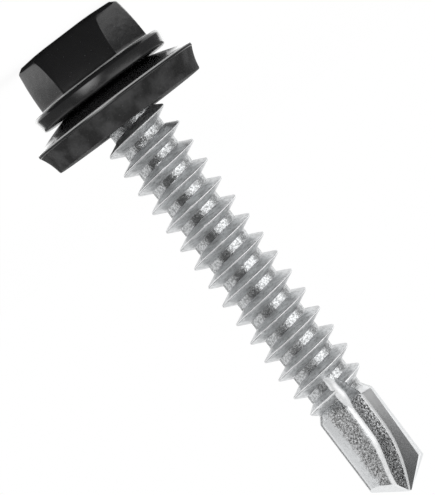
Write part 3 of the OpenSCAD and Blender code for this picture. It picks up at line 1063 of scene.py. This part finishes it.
class SCREW_OT_seal(bpy.types.Operator):
    """Model the rubber ring under the plate"""

    bl_idname = "screw.seal"
    bl_label = "Rubber seal"

    def execute(self, context):
        s = sizes("washer_sizes")
        rubber_top = seat_z() + s.seat_clearance + s.plate_t
        hole_r, mouth_r = s.gasket_hole_d / 2, s.mouth_d / 2
        inset, soft, waist = 0.06 * MM, 0.07 * MM, 0.15 * s.gasket_taper
        foot_r, edge_r = s.plate_d / 2 - s.gasket_taper, s.plate_d / 2 - inset
        top = cone(rubber_top, edge_r)
        side = []
        for t in (0.08, 0.2, 0.35, 0.5, 0.65, 0.8, 0.92):
            radius = between(edge_r, foot_r, t) - 4 * waist * t * (1 - t)
            side.append((radius, between(top[-1][1], seal_z(), t)))
        foot = [
            (foot_r - 0.01 * MM, seal_z() - soft),
            (foot_r - 0.02 * MM, seal_z() - 0.02 * MM),
            (foot_r - soft, seal_z()),
        ]
        flare = [(mouth_r, seal_z()), (hole_r, seal_z() - mouth_r + hole_r), (hole_r, rubber_top)]
        seal = turn_profile("seal_skin", [(hole_r, rubber_top)] + top + side + foot + flare, 128)
        finish_piece(seal, "sealing_washer", "seal_rubber", [seal_rubber()], 32, "washer_gasket")
        return {"FINISHED"}


def lay_floor():
    """White floor that still takes the screw's shadow."""
    s = sizes("studio_settings")
    bpy.ops.mesh.primitive_plane_add(size=s.floor_size)
    floor = bpy.context.object
    floor.name = "floor"
    finish = Finish("floor")
    path = finish.node("ShaderNodeLightPath", {}, {})
    seen = finish.maths("MAXIMUM", path["Is Camera Ray"], path["Is Glossy Ray"])
    lit = finish.node("ShaderNodeBsdfDiffuse", {}, {"Color": (0.98, 0.98, 0.98, 1)})["BSDF"]
    glow = finish.node("ShaderNodeEmission", {}, {"Color": WHITE, "Strength": 1})["Emission"]
    surface = finish.node("ShaderNodeMixShader", {}, {0: seen * s.floor_white, 1: lit, 2: glow})["Shader"]
    floor.data.materials.append(finish.end(surface))


def card_material(level, soft_spot):
    """An even glow, or one that fades round a spot given by its place and its reach in millimetres."""
    finish = Finish("card")
    colour = WHITE
    if soft_spot:
        place, reach = soft_spot
        ends = {0: finish.place(), 1: place}
        gap = finish.node("ShaderNodeVectorMath", {"operation": "DISTANCE"}, ends)["Value"]
        colour = finish.ramp(gap * (1 / (reach * MM)), (0, 1), (0.35, 0.6), (0.7, 0.12), (1, 0.04))
    return finish.end(finish.node("ShaderNodeEmission", {}, {"Color": colour, "Strength": level})["Emission"])


# Reflection cards round the screw: profile of radius and height in millimetres, first and last angle, level,
# and for a soft glow the angle, the height and the reach of its spot
CARDS = {
    "front_card": ([(60, 0), (60, 34.5)], -58, 9, 0.12),
    "drill_card": ([(60, 34.5), (60, 46)], -62, -16, 0.6),
    "high_card": ([(60, 46), (60, 95)], -130, 130, 0.12),
    "low_card": ([(45, 0), (45, 5)], -62, 44, 0.02),
    "low_left_card": ([(45, 0), (45, 5)], -145, -62, 0.3),
    "low_right_card": ([(45, 0), (45, 5)], 44, 145, 0.06),
    "ring_card": ([(12, 3.3), (12, 7.1)], -140, 140, 0.2),
    "floor_card": ([(0.1, 0.02), (45, 0.02)], -90, 80, 0.02),
    "back_card": ([(8.5, 0.1), (8.5, 4.9)], 135, 225, 0.2),
    "right_wedge_glow": ([(9, 0.1), (9, 5)], 112, 135, 2.2),
    "left_wedge_glow": ([(9, 0.1), (9, 5)], 225, 248, 2.2),
    "left_card": ([(60, 6), (60, 34.5)], -125, -58, 0.7),
    "left_drill_card": ([(60, 34.5), (60, 46)], -125, -62, 0.85),
    "right_card": ([(60, 6), (60, 46)], 78, 121, 0.45),
    "edge_card": ([(60, 6), (60, 46)], 205, 222, 0.2),
    "flange_glow": ([(11.8, 3.4), (11.8, 4.4), (11.8, 5.6), (11.8, 7.1)], -62, 20, 5, (-14, 5.2, 5.5)),
}


def card(name, profile, start, end, level, spot=None):
    """A curved card that shows only in reflections."""
    panel = draw_profile(name, [(r * MM, z * MM) for r, z in profile])
    edit(panel)
    bpy.ops.transform.rotate(value=math.radians(90 + start), orient_axis="Z", center_override=(0, 0, 0))
    bpy.ops.mesh.select_all(action="SELECT")
    bpy.ops.mesh.spin(steps=32, angle=math.radians(end - start), center=(0, 0, 0), axis=(0, 0, 1))
    done()
    soft_spot = spot and (aside(spot[0], profile[0][0] * MM, spot[1] * MM), spot[2])
    panel.data.materials.append(card_material(level, soft_spot))
    panel.visible_camera = panel.visible_diffuse = panel.visible_shadow = False


def white_world():
    """White surroundings, which give a soft even light."""
    finish = Finish("studio", "worlds")
    background = finish.node("ShaderNodeBackground", {}, {"Color": WHITE, "Strength": 1})
    bpy.context.scene.world = finish.end(background["Background"], "World")


def aside(angle, distance, z):
    """A place round the screw: 0 degrees is at the camera's side, and the angle grows towards -X."""
    return polar(distance, math.radians(-90 - angle), z)


def soft_box(name, angle, distance, z, size, radiance):
    """A rectangular lamp that faces the screw's middle. Its distance, height and size are in metres."""
    place, middle = aside(angle, distance, z), Vector((0, 0, 18 * MM))
    lamp = bpy.data.lights.new(name, "AREA")
    lamp.shape = "RECTANGLE"
    lamp.size, lamp.size_y = size
    lamp.energy = radiance * math.pi * size[0] * size[1]
    holder = bpy.data.objects.new(name, lamp)
    bpy.context.collection.objects.link(holder)
    holder.location = place
    holder.rotation_euler = (place - middle).to_track_quat("Z", "Y").to_euler()


def place_camera():
    """The camera at the photograph's angle: the screw lies slantwise across the picture."""
    s = sizes("studio_settings")
    turn = Matrix.Rotation(math.pi / 2 + s.tilt, 4, "X")
    place = Vector((s.aim_x, 0, s.aim_z)) + turn @ Vector((0, 0, s.distance))
    camera = bpy.data.objects.new("camera", bpy.data.cameras.new("camera"))
    bpy.context.collection.objects.link(camera)
    camera.matrix_world = Matrix.Translation(place) @ turn @ Matrix.Rotation(s.roll, 4, "Z")
    camera.data.lens = s.lens
    camera.data.clip_start = 0.01
    camera.data.clip_end = 100
    bpy.context.scene.camera = camera


class SCREW_OT_studio(bpy.types.Operator):
    """Set up the floor, the light and the camera"""

    bl_idname = "screw.studio"
    bl_label = "Studio"

    def execute(self, context):
        lay_floor()
        white_world()
        for name, settings in CARDS.items():
            card(name, *settings)
        soft_box("right_box", 50, 0.45, 0.05, (0.6, 0.5), 0.6)
        soft_box("left_box", -95, 0.45, 0.1, (0.3, 0.5), 0.8)
        place_camera()
        context.scene.view_settings.view_transform = "Standard"
        return {"FINISHED"}


class SCREW_PT_parts(bpy.types.Panel):
    """The pieces of the screw and the studio"""

    bl_label = "Self-drilling screw"
    bl_idname = "SCREW_PT_parts"
    bl_space_type = "VIEW_3D"
    bl_region_type = "UI"
    bl_category = "Screw"

    def draw(self, context):
        for name, group in GROUPS.items():
            box = self.layout.box()
            for key in group.__annotations__:
                box.prop(getattr(context.scene, name), key)
        for operator in OPERATORS:
            self.layout.operator(operator.bl_idname)


GROUPS = {
    "head_sizes": HeadSizes,
    "shank_sizes": ShankSizes,
    "drill_sizes": DrillSizes,
    "washer_sizes": WasherSizes,
    "finish_colours": FinishColours,
    "studio_settings": StudioSettings,
}
OPERATORS = (SCREW_OT_head, SCREW_OT_shank, SCREW_OT_washer_plate, SCREW_OT_seal, SCREW_OT_studio)
CLASSES = (*GROUPS.values(), *OPERATORS, SCREW_PT_parts)


def register():
    for item in CLASSES:
        bpy.utils.register_class(item)
    for name, group in GROUPS.items():
        setattr(bpy.types.Scene, name, PointerProperty(type=group))


def unregister():
    for name in GROUPS:
        delattr(bpy.types.Scene, name)
    for item in reversed(CLASSES):
        bpy.utils.unregister_class(item)


def main():
    """Models the screw and its studio."""
    register()
    bpy.ops.screw.head()
    bpy.ops.screw.shank()
    bpy.ops.screw.washer_plate()
    bpy.ops.screw.seal()
    bpy.ops.screw.studio()


if __name__ == "__main__":
    main()
